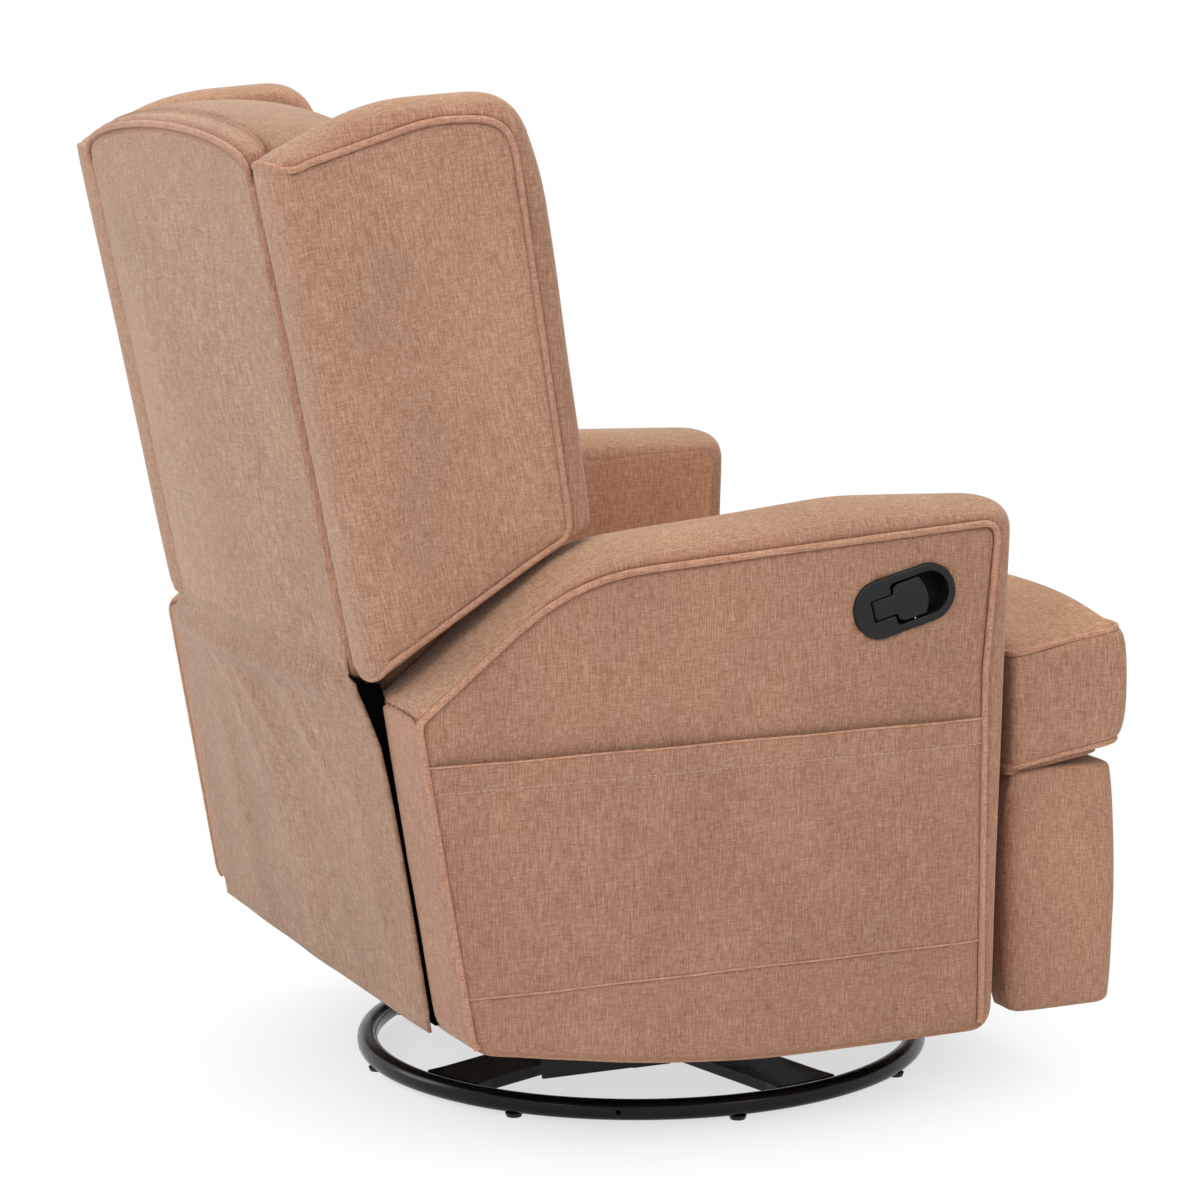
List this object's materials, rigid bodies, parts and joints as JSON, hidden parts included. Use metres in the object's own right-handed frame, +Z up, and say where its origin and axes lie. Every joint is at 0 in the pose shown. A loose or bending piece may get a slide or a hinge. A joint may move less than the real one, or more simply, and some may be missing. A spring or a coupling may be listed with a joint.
{
  "type": "swivel_glider_recliner",
  "caption": "Wing-back swivel glider recliner in tan woven fabric, with a loose T seat cushion, fold-out footrest, side pocket, black release handle and round black steel base.",
  "frame": {"origin": "On the floor, under the middle of the chair's overall box.", "axes": "+X is the sitter's left, +Y is to the back, +Z is up. The sitter faces -Y."},
  "size_m": [0.78, 0.8674, 0.9972],
  "materials": {
    "fabric": "chenille weave, matt",
    "black_steel": "gloss",
    "zinc_steel": "satin",
    "spring_steel": "oiled",
    "wood": "sawn",
    "black_plastic": "fine grain",
    "glide_plastic": "moulded"
  },
  "bodies": {
    "base": {"base_ring": "black_steel", "base_glide_1": "glide_plastic", "base_glide_2": "glide_plastic", "base_glide_3": "glide_plastic", "base_glide_4": "glide_plastic", "base_glide_5": "glide_plastic", "base_glide_6": "glide_plastic", "base_glide_7": "glide_plastic", "base_glide_8": "glide_plastic", "base_cross": "black_steel", "bearing_lower_race": "zinc_steel", "bearing_ball_cage": "zinc_steel", "pivot_bolt": "zinc_steel"},
    "carrier": {"bearing_upper_race": "zinc_steel", "carrier_cross": "black_steel", "carrier_side_left": "black_steel", "carrier_side_right": "black_steel"},
    "swing_front": {"swing_link_front_left": "zinc_steel", "swing_link_front_right": "zinc_steel"},
    "swing_rear": {"swing_link_rear_left": "zinc_steel", "swing_link_rear_right": "zinc_steel"},
    "seat_frame": {"glide_rail_left": "black_steel", "glide_rail_right": "black_steel", "side_panel_left": "wood", "side_panel_right": "wood", "front_rail": "wood", "rear_rail": "wood", "low_rear_rail": "wood", "seat_spring_1": "spring_steel", "seat_spring_2": "spring_steel", "seat_spring_3": "spring_steel", "seat_platform": "fabric", "seat_cushion": "fabric", "arm_left": "fabric", "arm_right": "fabric", "side_pocket": "fabric", "handle_bezel": "black_plastic", "handle_pin": "zinc_steel", "handle_spring": "spring_steel", "release_cable": "black_plastic", "recliner_plate_left": "black_steel", "recliner_plate_right": "black_steel", "back_flap": "fabric"},
    "back": {"back_panel": "fabric", "back_frame": "wood", "back_bracket_left": "black_steel", "back_bracket_right": "black_steel", "back_pad": "fabric", "wing_left": "fabric", "wing_right": "fabric"},
    "foot_lower": {"foot_link_lower": "black_steel"},
    "foot_upper": {"foot_link_upper": "black_steel"},
    "footrest": {"footrest_pad": "fabric", "footrest_board": "wood", "footrest_side_left": "fabric", "footrest_side_right": "fabric", "footrest_bracket_left": "black_steel", "footrest_bracket_right": "black_steel"},
    "handle": {"handle_lever": "black_plastic"}
  },
  "joints": [
    {"name": "swivel", "type": "hinge", "parent": "base", "child": "carrier", "pos_m": [0.0015, -0.0647, 0], "axis": [0, 0, 1], "continuous": true},
    {"name": "glide", "type": "slide", "parent": "carrier", "child": "seat_frame", "axis": [0, 1, 0], "range_m": [-0.045, 0.045], "stiffness_N_per_m": 2500},
    {"name": "swing_front", "type": "hinge", "parent": "carrier", "child": "swing_front", "pos_m": [0.0015, -0.2147, 0.217], "axis": [1, 0, 0], "range_deg": [-20.56, 20.56]},
    {"name": "swing_rear", "type": "hinge", "parent": "carrier", "child": "swing_rear", "pos_m": [0.0015, 0.0853, 0.217], "axis": [1, 0, 0], "range_deg": [-20.56, 20.56]},
    {"name": "recline", "type": "hinge", "parent": "seat_frame", "child": "back", "pos_m": [0.0015, 0.2753, 0.35], "axis": [-1, 0, 0], "range_deg": [0, 36], "deforming": ["back_flap"]},
    {"name": "footrest", "type": "hinge", "parent": "seat_frame", "child": "foot_lower", "pos_m": [0.0015, -0.1947, 0.3], "axis": [-1, 0, 0], "range_deg": [0, 44.1]},
    {"name": "footrest_knee", "type": "hinge", "parent": "foot_lower", "child": "foot_upper", "pos_m": [0.0015, -0.2697, 0.14744], "axis": [-1, 0, 0], "range_deg": [-88.2, 0]},
    {"name": "footrest_turn", "type": "hinge", "parent": "foot_upper", "child": "footrest", "pos_m": [0.0015, -0.3447, 0.3], "axis": [-1, 0, 0], "range_deg": [0, 134.1]},
    {"name": "handle", "type": "hinge", "parent": "seat_frame", "child": "handle", "pos_m": [-0.381, -0.14284, 0.51041], "axis": [0, -0.2487, -0.9686], "range_deg": [0, 35], "stiffness_Nm_per_rad": 0.06}
  ],
  "couplings": [
    {"joint": "swing_front", "follows": "glide", "rad_per_m": 7.9727},
    {"joint": "swing_rear", "follows": "glide", "rad_per_m": 7.9727},
    {"joint": "footrest_knee", "follows": "footrest", "ratio": -2},
    {"joint": "footrest_turn", "follows": "footrest", "ratio": 3.0408}
  ]
}
